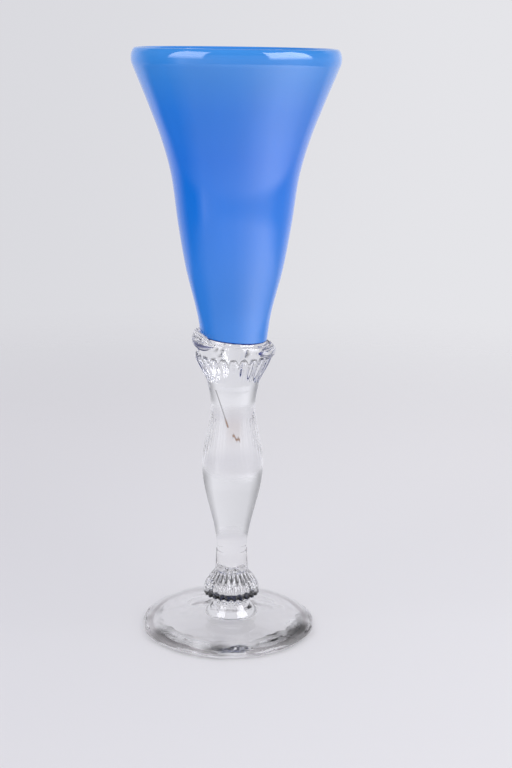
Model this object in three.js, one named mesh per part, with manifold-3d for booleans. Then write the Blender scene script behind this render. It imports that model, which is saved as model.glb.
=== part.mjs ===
// Goblet: a blue opaline trumpet bowl on a clear, hand-worked stem and foot.
// Seven gathers of glass, worked one by one and joined hot, stacked along one axis.
// Millimetres, +Z up, the origin on the table under the stem's axis.

import * as THREE from 'three';
import { mergeVertices } from 'three/addons/utils/BufferGeometryUtils.js';
import Module from 'manifold-3d';

const wasm = await Module();
wasm.setup();

// Foot, which sits a little to the left of the stem's axis
const FOOT_RADIUS = 40.8;
const FOOT_OFFSET_LEFT = 1.45;
const FOOT_EDGE_THICKNESS = 4.0;
const FOOT_CROWN_HEIGHT = 7.2;
const FOOT_BEARING_RADIUS = 36.4;
const FOOT_BEARING_WIDTH = 2.4;
const FOOT_HOLLOW_HEIGHT = 2.9;

// Merese, the flared button between foot and knop
const MERESE_HEIGHT = 5.4;
const MERESE_NECK_RADIUS = 8.2;
const MERESE_SKIRT_RADIUS = 12.7;
const MERESE_SKIRT_THICKNESS = 1.2;

// Knop, which narrows to a waist beneath its rim, and whose neck stands a little proud of the baluster
const KNOP_HEIGHT = 26.0;
const KNOP_RADIUS = 13.3;
const KNOP_WAIST_RADIUS = 6.6;
const KNOP_NECK_STEP = 0.25;

// Baluster, solid glass
const STEM_HEIGHT = 79.7;
const STEM_FOOT_RADIUS = 7.0;
const STEM_BELLY_HEIGHT = 42.4;
const STEM_BELLY_RADIUS = 14.4;
const STEM_NECK_HEIGHT = 70.4;
const STEM_NECK_RADIUS = 10.4;
const STEM_TOP_RADIUS = 11.6;

// Calyx, the ribbed cup under the bowl, and how far it swells out beyond the bowl's base
const CALYX_HEIGHT = 22.7;
const CALYX_SWELL = 2.3;

// Bowl
const BOWL_HEIGHT = 129.0;
const BOWL_BASE_RADIUS = 15.3;
const BOWL_BASE_ROUNDING = 1.2;
const BOWL_MOUTH_RADIUS = 46.1;
const BOWL_WALL = 2.6;
const BOWL_FLOOR = 5.0;
const BOWL_WELL_HEIGHT = 12.0;
const LIP_THICKNESS = 4.6;
const LIP_HEIGHT = 9.0;

// The joint of calyx and bowl leans, higher on the left, and the lean dies out below and above it
const JOINT_SLANT_ANGLE = 5;
const SLANT_REACH_DOWN = 9.0;
const SLANT_REACH_UP = 15.0;

// Collar, a trail of glass wound once round the joint of bowl and calyx
const COLLAR_START_ANGLE = 239;
const COLLAR_SWEEP_ANGLE = -292;
const COLLAR_TILT_ANGLE = 9.5;
const COLLAR_DROP = 2.8;
const COLLAR_STAND_OUT = 4.0;
const COLLAR_SECTION_WIDTH = 4.8;
const COLLAR_START_SECTION_HEIGHT = 7.8;
const COLLAR_END_SECTION_HEIGHT = 5.4;
const COLLAR_TAPER_SHARE = 0.1;
const COLLAR_TIP_SHARE = 0.12;
const COLLAR_CLEARANCE = 0.3;

// Ribs pressed into the knop and the calyx. The calyx's ribs end in round arches.
const KNOP_RIB_COUNT = 24;
const KNOP_RIB_DEPTH = 0.75;
const CALYX_RIB_COUNT = 22;
const CALYX_RIB_DEPTH = 0.85;
const RIB_ARCH_TOP_SHARE = 0.8;
const RIB_ARCH_HEIGHT = 4.0;
const RIB_ARCH_STEP = 0.9;

// Fineness of the facets
const ROUND_STEPS = 48;
const STEPS_PER_RIB = 4;
const COLLAR_STEPS = 36;
const COLLAR_SECTION_STEPS = 10;

const KNOP_NECK_RADIUS = STEM_FOOT_RADIUS + KNOP_NECK_STEP;
const CALYX_RADIUS = BOWL_BASE_RADIUS + CALYX_SWELL;

// Heights of the joints above the table
const FOOT_TOP = FOOT_CROWN_HEIGHT;
const MERESE_TOP = FOOT_TOP + MERESE_HEIGHT;
const KNOP_TOP = MERESE_TOP + KNOP_HEIGHT;
const STEM_TOP = KNOP_TOP + STEM_HEIGHT;
const CALYX_TOP = STEM_TOP + CALYX_HEIGHT;

const clearGlass = () => new THREE.MeshStandardMaterial({
  color: 0xdfe4e6, roughness: 0.05, metalness: 0, transparent: true, opacity: 0.4,
});
const blueOpaline = () => new THREE.MeshStandardMaterial({
  color: 0x4285e0, roughness: 0.08, metalness: 0,
});

const point = (radius, height) => new THREE.Vector2(radius, height);
const blend = (from, to, share) => from + (to - from) * share;

// An S-shaped run from 0 to 1, level at both ends
function ease(share) {
  const t = THREE.MathUtils.clamp(share, 0, 1);
  return t * t * (3 - 2 * t);
}

// Points at even distances along a smooth curve through the given ones
function smooth(points, steps) {
  return new THREE.SplineCurve(points).getSpacedPoints(steps);
}

// Points along the same curve, so many from each given one to the next
function follow(points, stepsBetween) {
  return new THREE.SplineCurve(points).getPoints((points.length - 1) * stepsBetween);
}

// Points of an elliptical arc, angles in degrees from the outward radius
function arc(centre, acrossRadius, upRadius, fromAngle, toAngle, steps) {
  const points = [];
  for (let i = 0; i <= steps; i++) {
    const angle = THREE.MathUtils.degToRad(blend(fromAngle, toAngle, i / steps));
    points.push(point(centre.x + acrossRadius * Math.cos(angle), centre.y + upRadius * Math.sin(angle)));
  }
  return points;
}

// The solid swept by an outline that starts and ends on the axis
function revolve(outline, steps = ROUND_STEPS) {
  const geometry = new THREE.LatheGeometry(outline, steps);
  geometry.rotateX(Math.PI / 2);
  return geometry;
}

// Presses ribs into a revolved solid: round lobes with a crease between them.
// The amount is the share of the depth at a height and radius, with 0 on a lobe's crest and 1 in a crease.
function rib(geometry, count, depth, amount) {
  const position = geometry.getAttribute('position');
  for (let i = 0; i < position.count; i++) {
    const x = position.getX(i);
    const y = position.getY(i);
    const radius = Math.hypot(x, y);
    if (radius > depth) {
      const crease = 1 - Math.abs(Math.sin(Math.atan2(y, x) * count / 2));
      const share = 1 - depth * amount(position.getZ(i), crease, radius) / radius;
      position.setXY(i, x * share, y * share);
    }
  }
  geometry.computeVertexNormals();
  return geometry;
}

// Leans a solid's rings near a height, higher on the left, less and less up to the reach away from it
function lean(geometry, height, reach) {
  const slope = Math.tan(THREE.MathUtils.degToRad(JOINT_SLANT_ANGLE));
  const position = geometry.getAttribute('position');
  for (let i = 0; i < position.count; i++) {
    const near = 1 - ease(Math.abs(position.getZ(i) - height) / reach);
    position.setZ(i, position.getZ(i) - position.getX(i) * slope * near);
  }
  geometry.computeVertexNormals();
  return geometry;
}

// Foot: a shallow dome with a thick rolled edge, hollow beneath, flat on top under the merese
function footOutline() {
  const bearingInner = FOOT_BEARING_RADIUS - FOOT_BEARING_WIDTH / 2;
  const bearingOuter = FOOT_BEARING_RADIUS + FOOT_BEARING_WIDTH / 2;
  const crownRadius = MERESE_SKIRT_RADIUS + FOOT_OFFSET_LEFT;
  const edge = point(bearingOuter, FOOT_EDGE_THICKNESS / 2);
  const hollow = (outShare, heightShare) => point(bearingInner * outShare, FOOT_HOLLOW_HEIGHT * heightShare);
  const under = follow([
    hollow(0, 1),
    hollow(0.35, 0.87),
    hollow(0.57, 0.55),
    hollow(0.77, 0.17),
    hollow(0.86, 0.035),
    hollow(1, 0),
  ], 1);
  const roll = arc(edge, FOOT_RADIUS - bearingOuter, FOOT_EDGE_THICKNESS / 2, -90, 75, 7);
  const shoulder = roll[roll.length - 1];
  const slope = (inShare, upShare) => point(
    blend(shoulder.x, crownRadius, inShare), blend(shoulder.y, FOOT_TOP, upShare));
  const top = follow([
    slope(0, 0),
    slope(0.35, 0.48),
    slope(0.68, 0.82),
    slope(1, 1),
  ], 2);
  return [...under, ...roll, ...top.slice(1), point(0, FOOT_TOP)];
}

// Merese: a short neck that spreads into a thin rounded skirt on the foot
function mereseOutline() {
  const skirtHalf = MERESE_SKIRT_THICKNESS / 2;
  const skirt = arc(point(MERESE_SKIRT_RADIUS - skirtHalf, skirtHalf), skirtHalf, skirtHalf, -90, 75, 4);
  const flare = smooth([
    skirt[skirt.length - 1],
    point(blend(MERESE_NECK_RADIUS, MERESE_SKIRT_RADIUS, 0.42), blend(MERESE_SKIRT_THICKNESS, MERESE_HEIGHT, 0.4)),
    point(MERESE_NECK_RADIUS, MERESE_HEIGHT),
  ], 4);
  return [point(0, 0), ...skirt, ...flare.slice(1), point(0, MERESE_HEIGHT)];
}

// Knop: a flattened ball whose rim overhangs its waist, its top drawn up into a neck
function knopOutline() {
  const at = (heightShare, radiusShare) => point(
    blend(KNOP_NECK_RADIUS, KNOP_RADIUS, radiusShare), KNOP_HEIGHT * heightShare);
  const side = follow([
    point(MERESE_NECK_RADIUS, 0),
    point(KNOP_WAIST_RADIUS, KNOP_HEIGHT * 0.09),
    point(KNOP_WAIST_RADIUS, KNOP_HEIGHT * 0.185),
    at(0.215, 0.14),
    at(0.16, 0.86),
    at(0.175, 0.98),
    at(0.22, 1),
    at(0.3, 0.94),
    at(0.37, 0.83),
    at(0.44, 0.65),
    at(0.51, 0.42),
    at(0.57, 0.22),
    at(0.66, 0.07),
    at(1, 0),
  ], 1);
  return [point(0, 0), ...side, point(0, KNOP_HEIGHT)];
}

// The knop's ribs run from beneath its rim to the foot of its neck, and spare the waist
function knopPress(height, crease, radius) {
  const upShare = height / KNOP_HEIGHT;
  const outShare = (radius - KNOP_NECK_RADIUS) / (KNOP_RADIUS - KNOP_NECK_RADIUS);
  const low = upShare < 0.3 ? ease((outShare - 0.15) / 0.4) : 1;
  return low * (1 - ease((upShare - 0.47) / 0.08)) * crease;
}

// Baluster: swells from its foot to the belly, draws in at the neck and opens to the calyx
function stemRadius(height) {
  if (height < STEM_BELLY_HEIGHT) {
    return blend(STEM_FOOT_RADIUS, STEM_BELLY_RADIUS, ease(height / STEM_BELLY_HEIGHT));
  }
  if (height < STEM_NECK_HEIGHT) {
    const share = (height - STEM_BELLY_HEIGHT) / (STEM_NECK_HEIGHT - STEM_BELLY_HEIGHT);
    return blend(STEM_BELLY_RADIUS, STEM_NECK_RADIUS, ease(share));
  }
  const share = (height - STEM_NECK_HEIGHT) / (STEM_HEIGHT - STEM_NECK_HEIGHT);
  return blend(STEM_NECK_RADIUS, STEM_TOP_RADIUS, share * share);
}

function stemOutline() {
  const steps = 16;
  const outline = [point(0, 0)];
  for (let i = 0; i <= steps; i++) {
    const height = STEM_HEIGHT * i / steps;
    outline.push(point(stemRadius(height), height));
  }
  outline.push(point(0, STEM_HEIGHT));
  return outline;
}

// Calyx: rises out of the baluster's top, swells round the bowl's base and rounds in to meet it
function calyxSide(steps) {
  const at = (heightShare, radiusShare) => point(
    blend(STEM_TOP_RADIUS, CALYX_RADIUS, radiusShare), CALYX_HEIGHT * heightShare);
  return smooth([
    point(STEM_TOP_RADIUS, 0),
    at(0.15, 0.12),
    at(0.37, 0.55),
    at(0.6, 0.97),
    at(0.75, 1),
    at(0.9, 0.93),
    at(0.97, 0.8),
    point(BOWL_BASE_RADIUS - BOWL_BASE_ROUNDING / 2, CALYX_HEIGHT),
  ], steps);
}

function calyxOutline() {
  return [point(0, 0), ...calyxSide(16), point(0, CALYX_HEIGHT)];
}

// The creases deepen upwards, and above the round ends of the ribs the whole skin lies as deep
function calyxPress(height, crease) {
  const ends = CALYX_HEIGHT * RIB_ARCH_TOP_SHARE - RIB_ARCH_HEIGHT * crease * crease;
  const between = ease((height / CALYX_HEIGHT - 0.1) / 0.6) * crease;
  return blend(between, 1, ease((height - ends) / RIB_ARCH_STEP));
}

// Bowl: the outside swells gently from its base, then flares like a trumpet up to the lip
function bowlSide(steps) {
  const flareHeight = BOWL_HEIGHT - LIP_HEIGHT * 1.3;
  const at = (heightShare, radiusShare) => point(
    blend(BOWL_BASE_RADIUS, BOWL_MOUTH_RADIUS, radiusShare),
    blend(BOWL_BASE_ROUNDING, flareHeight, heightShare));
  return smooth([
    at(0, 0),
    at(0.1, 0.06),
    at(0.27, 0.22),
    at(0.445, 0.335),
    at(0.624, 0.43),
    at(0.768, 0.58),
    at(0.9, 0.77),
    at(1, 0.925),
  ], steps);
}

function bowlOutline() {
  const outside = bowlSide(11);
  const lipCentre = point(BOWL_MOUTH_RADIUS - LIP_THICKNESS / 2, BOWL_HEIGHT - LIP_HEIGHT / 2);
  const lip = arc(lipCentre, LIP_THICKNESS / 2, LIP_HEIGHT / 2, -45, 198, 9);
  const inside = outside
    .filter((p) => p.y > BOWL_FLOOR + BOWL_WELL_HEIGHT)
    .map((p) => point(p.x - BOWL_WALL, p.y))
    .reverse();
  const lowest = inside[inside.length - 1];
  const well = arc(point(0, lowest.y), lowest.x, lowest.y - BOWL_FLOOR, -22, -70, 2);
  return [
    point(0, 0),
    point(BOWL_BASE_RADIUS - BOWL_BASE_ROUNDING, 0),
    point(BOWL_BASE_RADIUS - BOWL_BASE_ROUNDING * 0.3, BOWL_BASE_ROUNDING * 0.3),
    ...outside,
    ...lip,
    ...inside,
    ...well,
    point(0, BOWL_FLOOR),
  ];
}

// Collar: an oval rope laid on a tilted ring, thick where it starts, thinning out, both tips drawn to points
function collarRope() {
  const ringRadius = BOWL_BASE_RADIUS + COLLAR_STAND_OUT - COLLAR_SECTION_WIDTH / 2;
  const tilt = Math.tan(THREE.MathUtils.degToRad(COLLAR_TILT_ANGLE));
  const vertices = [];
  const faces = [];
  for (let i = 0; i <= COLLAR_STEPS; i++) {
    const share = i / COLLAR_STEPS;
    const angle = THREE.MathUtils.degToRad(COLLAR_START_ANGLE + COLLAR_SWEEP_ANGLE * share);
    const tip = Math.min(share, 1 - share) / COLLAR_TAPER_SHARE;
    const fullness = blend(COLLAR_TIP_SHARE, 1, Math.sqrt(ease(tip)));
    const halfWidth = fullness * COLLAR_SECTION_WIDTH / 2;
    const halfHeight = fullness * blend(COLLAR_START_SECTION_HEIGHT, COLLAR_END_SECTION_HEIGHT, share) / 2;
    const middle = CALYX_TOP - COLLAR_DROP - ringRadius * Math.cos(angle) * tilt;
    for (let j = 0; j < COLLAR_SECTION_STEPS; j++) {
      const turn = 2 * Math.PI * j / COLLAR_SECTION_STEPS;
      const radius = ringRadius + halfWidth * Math.cos(turn);
      vertices.push(radius * Math.cos(angle), radius * Math.sin(angle), middle + halfHeight * Math.sin(turn));
      if (i < COLLAR_STEPS) {
        const here = i * COLLAR_SECTION_STEPS + j;
        const beside = i * COLLAR_SECTION_STEPS + (j + 1) % COLLAR_SECTION_STEPS;
        faces.push(here, beside, here + COLLAR_SECTION_STEPS);
        faces.push(beside, beside + COLLAR_SECTION_STEPS, here + COLLAR_SECTION_STEPS);
      }
    }
  }
  const lastRing = COLLAR_STEPS * COLLAR_SECTION_STEPS;
  for (let j = 1; j < COLLAR_SECTION_STEPS - 1; j++) {
    faces.push(0, j + 1, j);
    faces.push(lastRing, lastRing + j, lastRing + j + 1);
  }
  const geometry = new THREE.BufferGeometry();
  geometry.setAttribute('position', new THREE.Float32BufferAttribute(vertices, 3));
  geometry.setIndex(faces);
  return geometry;
}

// A solid that can be joined and cut, from a closed geometry
function toSolid(geometry) {
  const bare = geometry.clone();
  bare.deleteAttribute('normal');
  bare.deleteAttribute('uv');
  const merged = mergeVertices(bare, 1e-4);
  return new wasm.Manifold(new wasm.Mesh({
    numProp: 3,
    vertProperties: merged.getAttribute('position').array,
    triVerts: merged.getIndex().array,
  }));
}

function toGeometry(solid) {
  const mesh = solid.getMesh();
  const geometry = new THREE.BufferGeometry();
  geometry.setAttribute('position', new THREE.Float32BufferAttribute(mesh.vertProperties, 3));
  geometry.setIndex(new THREE.Uint32BufferAttribute(mesh.triVerts, 1));
  geometry.computeVertexNormals();
  return geometry;
}

// The collar hugs whatever it is wound on: the room of the calyx and of the bowl is cut from the rope
function collarGeometry() {
  const grown = (p) => point(p.x + COLLAR_CLEARANCE, p.y);
  const calyxRoom = lean(
    revolve([point(0, 0), ...calyxSide(16).map(grown), point(0, CALYX_HEIGHT)]), CALYX_HEIGHT, SLANT_REACH_DOWN);
  const bowlRoom = lean(revolve([
    point(0, 0),
    point(BOWL_BASE_RADIUS + COLLAR_CLEARANCE, 0),
    ...bowlSide(14).map(grown),
    point(0, BOWL_HEIGHT),
  ]), 0, SLANT_REACH_UP);
  calyxRoom.translate(0, 0, STEM_TOP);
  bowlRoom.translate(0, 0, CALYX_TOP - COLLAR_CLEARANCE);
  return toGeometry(toSolid(collarRope()).subtract(toSolid(calyxRoom)).subtract(toSolid(bowlRoom)));
}

const goblet = new THREE.Group();

function place(name, geometry, material, height) {
  const mesh = new THREE.Mesh(geometry, material);
  mesh.name = name;
  mesh.position.z = height;
  goblet.add(mesh);
}

const foot = revolve(footOutline());
foot.translate(-FOOT_OFFSET_LEFT, 0, 0);
const knop = rib(
  revolve(knopOutline(), KNOP_RIB_COUNT * STEPS_PER_RIB), KNOP_RIB_COUNT, KNOP_RIB_DEPTH, knopPress);
const calyx = lean(
  rib(revolve(calyxOutline(), CALYX_RIB_COUNT * STEPS_PER_RIB), CALYX_RIB_COUNT, CALYX_RIB_DEPTH, calyxPress),
  CALYX_HEIGHT, SLANT_REACH_DOWN);
const bowl = lean(revolve(bowlOutline()), 0, SLANT_REACH_UP);

place('foot', foot, clearGlass(), 0);
place('merese', revolve(mereseOutline()), clearGlass(), FOOT_TOP);
place('knop', knop, clearGlass(), MERESE_TOP);
place('baluster', revolve(stemOutline()), clearGlass(), KNOP_TOP);
place('calyx', calyx, clearGlass(), STEM_TOP);
place('collar', collarGeometry(), clearGlass(), 0);
place('bowl', bowl, blueOpaline(), CALYX_TOP);

export default goblet;
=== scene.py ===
"""A hand-blown goblet in its glass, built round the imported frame, with a plain pale studio.

Metres, +Z up, the origin on the table under the stem's axis, -Y towards the front.
Each gather of glass is turned as one closed skin by its own operator, and keeps the place of its CAD node.
"""

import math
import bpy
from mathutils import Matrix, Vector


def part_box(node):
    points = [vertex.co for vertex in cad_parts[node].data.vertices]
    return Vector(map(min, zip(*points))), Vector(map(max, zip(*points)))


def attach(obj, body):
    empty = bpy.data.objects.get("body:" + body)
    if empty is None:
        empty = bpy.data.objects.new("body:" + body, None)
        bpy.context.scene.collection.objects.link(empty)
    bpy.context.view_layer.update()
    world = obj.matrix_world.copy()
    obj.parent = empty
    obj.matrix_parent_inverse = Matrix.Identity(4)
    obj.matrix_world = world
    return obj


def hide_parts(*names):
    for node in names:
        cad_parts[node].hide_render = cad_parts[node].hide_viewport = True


bl_info = {
    "name": "Blown Goblet",
    "version": (1, 0, 0),
    "blender": (4, 5, 0),
    "location": "View3D > Sidebar > Goblet",
    "description": "Models a blue opaline goblet on a clear worked stem, and a pale studio round it",
    "category": "Add Mesh",
}

from functools import cache

import bpy
from mathutils import Matrix, Vector, noise

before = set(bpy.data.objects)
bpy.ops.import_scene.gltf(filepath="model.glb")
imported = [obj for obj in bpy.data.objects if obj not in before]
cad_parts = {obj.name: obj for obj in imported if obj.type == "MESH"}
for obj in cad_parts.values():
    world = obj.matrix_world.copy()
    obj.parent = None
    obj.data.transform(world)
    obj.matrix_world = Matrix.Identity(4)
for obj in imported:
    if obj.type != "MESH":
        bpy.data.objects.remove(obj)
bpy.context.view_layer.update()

MM = 0.001
AXIS = (0.0, 0.0, 1.0)
CENTRE = (0.0, 0.0, 0.0)
MERGE_DISTANCE = 0.002 * MM
NEAR = 0.02 * MM
ROUND_UP_TO = math.radians(35)

FOOT_LOW, FOOT_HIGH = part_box("foot")
MERESE_LOW, MERESE_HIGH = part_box("merese")
KNOP_LOW, KNOP_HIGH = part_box("knop")
STEM_LOW, STEM_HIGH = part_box("baluster")
CALYX_LOW, CALYX_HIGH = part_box("calyx")
BOWL_LOW, BOWL_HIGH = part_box("bowl")

CALYX_HEIGHT = 22.7 * MM
JOINT = STEM_HIGH.z + CALYX_HEIGHT


def size(name, description, default):
    """A length that the sidebar shows in the scene's unit."""
    return bpy.props.FloatProperty(name=name, description=description, default=default, unit="LENGTH",
                                   precision=5)


def count(name, description, default):
    return bpy.props.IntProperty(name=name, description=description, default=default, min=3)


def radiance(name, description, default, most):
    return bpy.props.FloatProperty(name=name, description=description, default=default, min=0.0, max=most)


def angle(name, description, degrees):
    return bpy.props.FloatProperty(name=name, description=description, default=math.radians(degrees),
                                   subtype="ANGLE")


def colour(name, description, code):
    return bpy.props.FloatVectorProperty(name=name, description=description, default=linear(code),
                                         size=4, subtype="COLOR", min=0.0, max=1.0)


def linear(code, alpha=1.0):
    """A hex colour as written for a screen, as the linear values that a shader takes."""
    parts = [int(code[i:i + 2], 16) / 255 for i in (1, 3, 5)]
    return (*[p / 12.92 if p <= 0.04045 else ((p + 0.055) / 1.055) ** 2.4 for p in parts], alpha)


class GobletFoot(bpy.types.PropertyGroup):
    radius: size("Radius", "Radius of the foot", (FOOT_HIGH.x - FOOT_LOW.x) / 2)
    edge_thickness: size("Edge", "Thickness of the rolled edge", 4.0 * MM)
    crown: size("Crown", "Height of the foot under the stem", FOOT_HIGH.z)
    bearing_radius: size("Bearing radius", "Radius of the ring that the foot stands on", 36.4 * MM)
    bearing_width: size("Bearing width", "Width of that ring", 2.4 * MM)
    hollow: size("Hollow", "Height of the hollow beneath", 2.9 * MM)
    waviness: size("Waves", "Height of the waves that the foot's skin set in", 1.1 * MM)
    wave_length: size("Wave length", "Length of those waves", 10 * MM)


class GobletStem(bpy.types.PropertyGroup):
    skirt_thickness: size("Skirt", "Thickness of the merese's skirt", 0.35 * MM)
    skirt_radius: size("Skirt radius", "Radius of the merese's skirt", 12.7 * MM)
    merese_neck: size("Merese neck", "Radius of the merese's neck", 8.2 * MM)
    knop_waist: size("Knop waist", "Radius of the waist under the knop", 6.6 * MM)
    knop_radius: size("Knop radius", "Radius over the knop's ribs", 13.3 * MM)
    knop_neck: size("Knop neck", "Radius of the knop's own neck", 7.25 * MM)
    foot_radius: size("Stem foot", "Radius at the baluster's foot", 7.0 * MM)
    belly_radius: size("Belly", "Radius of the baluster's belly", (STEM_HIGH.x - STEM_LOW.x) / 2)
    belly_height: size("Belly height", "Height of the belly above the knop", 42.4 * MM)
    neck_radius: size("Neck", "Radius of the baluster's neck", 10.4 * MM)
    neck_height: size("Neck height", "Height of the neck above the knop", 70.4 * MM)
    top_radius: size("Top", "Radius where the calyx begins", 11.6 * MM)
    flutes: count("Flutes", "Faint flutes on the baluster's shoulder", 36)
    flute_depth: size("Flute depth", "Depth of those flutes", 0.12 * MM)


class GobletRibs(bpy.types.PropertyGroup):
    knop_count: count("Knop ribs", "Ribs round the knop", 24)
    knop_depth: size("Knop creases", "Depth of the creases on the knop", 0.95 * MM)
    calyx_count: count("Calyx ribs", "Ribs round the calyx", 22)
    calyx_depth: size("Calyx creases", "Depth of the creases on the calyx", 0.85 * MM)
    arch_height: size("Arches", "Height of the rounded ends of the calyx's ribs", 4.0 * MM)
    arch_line: size("Arch line", "Depth of the fold round each of those ends", 0.45 * MM)


class GobletBowl(bpy.types.PropertyGroup):
    mouth_radius: size("Mouth", "Radius over the lip", (BOWL_HIGH.x - BOWL_LOW.x) / 2)
    base_radius: size("Base", "Radius of the bowl's base", 15.3 * MM)
    base_rounding: size("Base rounding", "Rounding of the base's edge", 1.2 * MM)
    wall: size("Wall", "Thickness of the wall", 2.6 * MM)
    floor: size("Floor", "Thickness of the floor", 5.0 * MM)
    well: size("Well", "Height over which the well rounds in", 12.0 * MM)
    lip_thickness: size("Lip thickness", "Thickness of the rounded lip", 4.6 * MM)
    lip_height: size("Lip height", "Height of the rounded lip", 9.0 * MM)
    slant: angle("Slant", "How far the joint of bowl and calyx leans", 5.0)
    slant_reach: size("Slant reach", "How far above the joint the lean dies out", 15.0 * MM)
    slant_reach_below: size("Slant below", "How far below the joint the lean dies out", 9.0 * MM)


class GobletCollar(bpy.types.PropertyGroup):
    start_angle: angle("Start", "Where the trail of glass begins", 239)
    sweep_angle: angle("Sweep", "How far round it runs", -292)
    tilt_angle: angle("Tilt", "How far the trail leans", 9.5)
    drop: size("Drop", "How far its middle lies below the joint", 2.8 * MM)
    stand_out: size("Stand-out", "How far it stands out from the bowl's base", 4.0 * MM)
    width: size("Width", "Width of the trail", 4.8 * MM)
    start_height: size("Start height", "Height of the trail where it begins", 7.8 * MM)
    end_height: size("End height", "Height of the trail where it ends", 5.4 * MM)


class GobletStudio(bpy.types.PropertyGroup):
    backdrop: colour("Backdrop", "Colour of the floor on the left", "#E3E1E3")
    # Painted light: the floor is paler on the right, as if lit more from that side.
    backdrop_right_painted_light: colour("Backdrop right", "Colour of the floor on the right", "#ECEAEB")
    # Painted light: the floor beneath the glass is paler where glass shows it.
    seen_through_painted_light: colour("Through glass", "Colour of the floor beneath, where glass shows it", "#F3F1F3")
    seen_behind: colour("Behind glass", "Colour of the floor behind, where glass shows it", "#DFDDE0")
    left_light: radiance("Left softbox", "Radiance of the left softbox", 1.08, 20.0)
    right_light: radiance("Right softbox", "Radiance of the right softbox", 1.2, 20.0)
    fill: radiance("Fill", "Radiance of the room all round", 0.74, 5.0)


GROUPS = {
    "goblet_foot": GobletFoot,
    "goblet_stem": GobletStem,
    "goblet_ribs": GobletRibs,
    "goblet_bowl": GobletBowl,
    "goblet_collar": GobletCollar,
    "goblet_studio": GobletStudio,
}


def blend(start, end, amount):
    return start + (end - start) * amount


def ease(amount):
    """An S-shaped run from 0 to 1, level at both ends."""
    t = min(max(amount, 0.0), 1.0)
    return t * t * (3 - 2 * t)


def bell(distance, width):
    """1 at no distance, falling off to both sides as a bell does."""
    return math.exp(-(distance / width) ** 2)


def smooth(points, steps):
    """A smooth curve through the given (radius, height) points, with so many steps between each two."""
    curve = []
    last = len(points) - 1
    for i in range(last):
        before, here, after, beyond = (Vector(points[min(max(k, 0), last)]) for k in (i - 1, i, i + 1, i + 2))
        leave, arrive = (after - before) / 2, (beyond - here) / 2
        for step in range(steps):
            t = step / steps
            curve.append(
                here * (2 * t ** 3 - 3 * t ** 2 + 1) + leave * (t ** 3 - 2 * t ** 2 + t)
                + after * (3 * t ** 2 - 2 * t ** 3) + arrive * (t ** 3 - t ** 2))
    return [tuple(p) for p in curve] + [tuple(points[-1])]


def arc(centre, across, up, start, end, steps):
    """Points of an elliptical arc, its angles in degrees from the outward radius."""
    turns = [math.radians(blend(start, end, i / steps)) for i in range(steps + 1)]
    return [(centre[0] + across * math.cos(t), centre[1] + up * math.sin(t)) for t in turns]


def raised(outline, height):
    return [(radius, z + height) for radius, z in outline]


def radius_at(outline, height):
    """The outline's radius at a height, between its own points."""
    for (r0, z0), (r1, z1) in zip(outline, outline[1:]):
        if z0 <= height <= z1:
            return blend(r0, r1, (height - z0) / max(z1 - z0, 1e-9))
    return 0.0


def from_axis(co):
    return math.hypot(co.x, co.y)


def crease(co, ribs):
    """0 on the crest of a rib and 1 in the crease between two."""
    return 1 - abs(math.sin(math.atan2(co.y, co.x) * ribs / 2))


def in_front(co, reach, fading):
    """1 on the front of the goblet, running out to 0 past this angle to either side."""
    return 1 - ease((abs(math.atan2(co.x, -co.y)) - reach) / fading)


def edit(obj):
    """Takes only this object into edit mode, with all of it selected."""
    bpy.ops.object.select_all(action="DESELECT")
    obj.select_set(True)
    bpy.context.view_layer.objects.active = obj
    bpy.ops.object.mode_set(mode="EDIT")
    bpy.ops.mesh.select_all(action="SELECT")


def turned(name, outline, steps):
    """Draws the outline point by point in the XZ plane, spins it round the axis and closes the skin."""
    bpy.ops.object.select_all(action="DESELECT")
    bpy.ops.mesh.primitive_plane_add(size=MM, location=(outline[0][0], 0, outline[0][1]))
    obj = bpy.context.object
    obj.name = obj.data.name = name
    bpy.ops.object.transform_apply(location=True, rotation=False, scale=False)
    edit(obj)
    bpy.ops.mesh.merge(type="CENTER")
    for here, there in zip(outline, outline[1:]):
        bpy.ops.mesh.extrude_region_move(
            TRANSFORM_OT_translate={"value": (there[0] - here[0], 0, there[1] - here[1])})
    bpy.ops.mesh.select_all(action="SELECT")
    bpy.ops.mesh.spin(steps=steps, angle=2 * math.pi, center=CENTRE, axis=AXIS)
    bpy.ops.mesh.select_all(action="SELECT")
    bpy.ops.mesh.remove_doubles(threshold=MERGE_DISTANCE)
    bpy.ops.mesh.normals_make_consistent(inside=False)
    bpy.ops.object.mode_set(mode="OBJECT")
    bpy.ops.object.shade_smooth_by_angle(angle=ROUND_UP_TO)
    return obj


def push(obj, name, amount, **settings):
    """Moves the skin along its normals, by as much of the given displacement as each vertex gets."""
    group = obj.vertex_groups.new(name=name)
    for vertex in obj.data.vertices:
        weight = amount(vertex.co)
        if weight > 0:
            group.add([vertex.index], weight, "REPLACE")
    displace = obj.modifiers.new(name, "DISPLACE")
    displace.vertex_group = name
    for key, value in settings.items():
        setattr(displace, key, value)
    bpy.context.view_layer.objects.active = obj
    bpy.ops.object.modifier_apply(modifier=displace.name)


def press(obj, name, depth, amount):
    """Presses creases or flutes into the skin."""
    push(obj, name, amount, mid_level=0.0, strength=-depth)


def wave(obj, height, length, amount):
    """Leaves the skin with the slow waves of hot glass."""
    clouds = bpy.data.textures.new("waves", "CLOUDS")
    clouds.noise_scale = length
    clouds.noise_depth = 0
    push(obj, "waves", amount, texture=clouds, texture_coords="LOCAL", mid_level=0.5, strength=height)


def lean(obj, height, slant, reach):
    """Leans the rings near this height, higher on the left, less and less up to the reach away from it."""
    for vertex in obj.data.vertices:
        near = 1 - ease(abs(vertex.co.z - height) / reach)
        vertex.co.z -= vertex.co.x * math.tan(slant) * near


def finish_piece(obj, node_name, slot, *materials):
    for material in materials:
        obj.data.materials.append(material)
    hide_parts(node_name)
    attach(obj, "root")


def set_faces(obj, slot, chosen):
    """Gives a material slot to the faces that the test chooses by their middle and normal."""
    for face in obj.data.polygons:
        if chosen(face.center, face.normal):
            face.material_index = slot


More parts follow.
